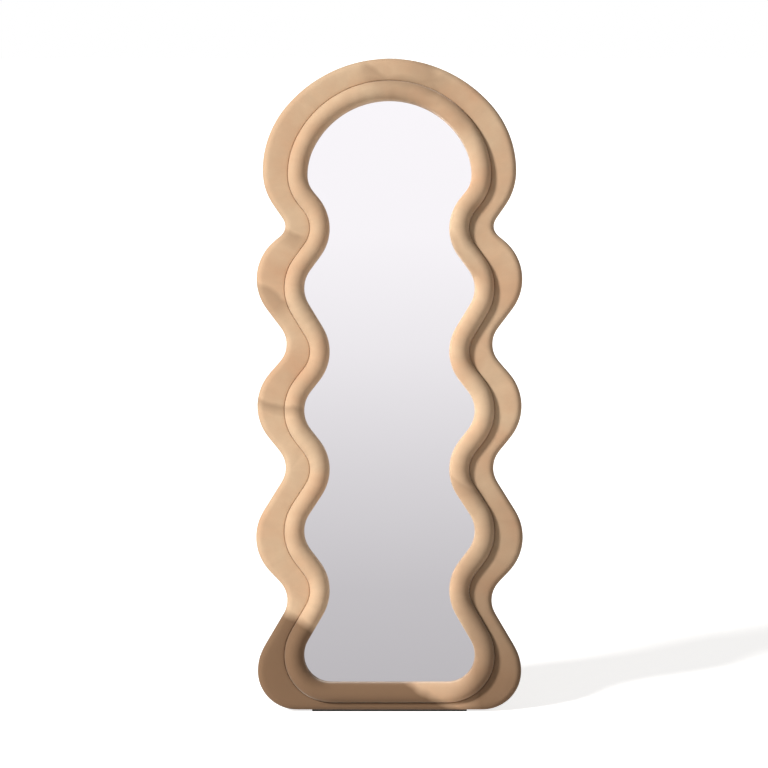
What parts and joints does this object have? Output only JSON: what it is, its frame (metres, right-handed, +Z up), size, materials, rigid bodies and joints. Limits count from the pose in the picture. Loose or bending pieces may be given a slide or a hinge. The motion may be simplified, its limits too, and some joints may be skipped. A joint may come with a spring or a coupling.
{
  "type": "free-standing mirror",
  "caption": "Free-standing full-length mirror with a wavy velvet-wrapped frame and a half-round padded roll round the glass, leaning back on a folding U-shaped tube leg.",
  "frame": {"origin": "middle of the rubber strip's sole, on the floor, under the frame's bottom edge", "axes": "+X across to the viewer's right, +Y back away from the viewer, towards the leg, +Z up"},
  "size_m": [0.6556, 0.3343, 1.5893],
  "materials": {
    "board": "raw fibreboard",
    "foam": "open-cell padding foam",
    "velvet": "short-pile velvet, beige",
    "mirror": "silvered float glass",
    "film": "clear safety film",
    "packing": "foam sheet",
    "tape": "black foam tape",
    "hardboard": "pressed hardboard, smooth side out",
    "black_steel": "satin black powder coat",
    "zinc": "bright zinc plating",
    "cap_plastic": "moulded black plastic",
    "nylon": "natural nylon",
    "rubber": "matte black rubber"
  },
  "bodies": {
    "mirror": {"frame_board": "board", "edge_padding_foot": "foam", "edge_padding_left": "foam", "edge_padding_right": "foam", "edge_padding_arch": "foam", "rim_velvet": "velvet", "roll_core_foot": "foam", "roll_core_left": "foam", "roll_core_right": "foam", "roll_core_arch": "foam", "roll_velvet": "velvet", "mirror_glass": "mirror", "safety_film": "film", "packing_sheet": "packing", "glass_gasket": "tape", "backing_board": "hardboard", "foot_strip": "rubber", "panel_screws": "zinc", "bracket_screws": "zinc", "hanger_screws": "zinc", "hinge_bracket_left": "black_steel", "hinge_bolt_left": "zinc", "hinge_nut_left": "zinc", "hanger_strap_left": "zinc", "hinge_bracket_right": "black_steel", "hinge_bolt_right": "zinc", "hinge_nut_right": "zinc", "hanger_strap_right": "zinc"},
    "leg": {"leg_tube": "black_steel", "end_cap_left": "cap_plastic", "pivot_bush_left": "nylon", "leg_sleeve_left": "rubber", "end_cap_right": "cap_plastic", "pivot_bush_right": "nylon", "leg_sleeve_right": "rubber"},
    "ring_left": {"hanger_ring_left": "zinc"},
    "ring_right": {"hanger_ring_right": "zinc"}
  },
  "joints": [
    {"name": "leg_fold", "type": "hinge", "parent": "mirror", "child": "leg", "pos_m": [0, 0.16459, 0.99074], "axis": [1, 0, 0], "range_deg": [-15, 0]},
    {"name": "ring_left_swing", "type": "hinge", "parent": "mirror", "child": "ring_left", "pos_m": [-0.25, 0.20246, 1.35905], "axis": [1, 0, 0], "range_deg": [-7, 170]},
    {"name": "ring_right_swing", "type": "hinge", "parent": "mirror", "child": "ring_right", "pos_m": [0.25, 0.20246, 1.35905], "axis": [1, 0, 0], "range_deg": [-7, 170]}
  ]
}
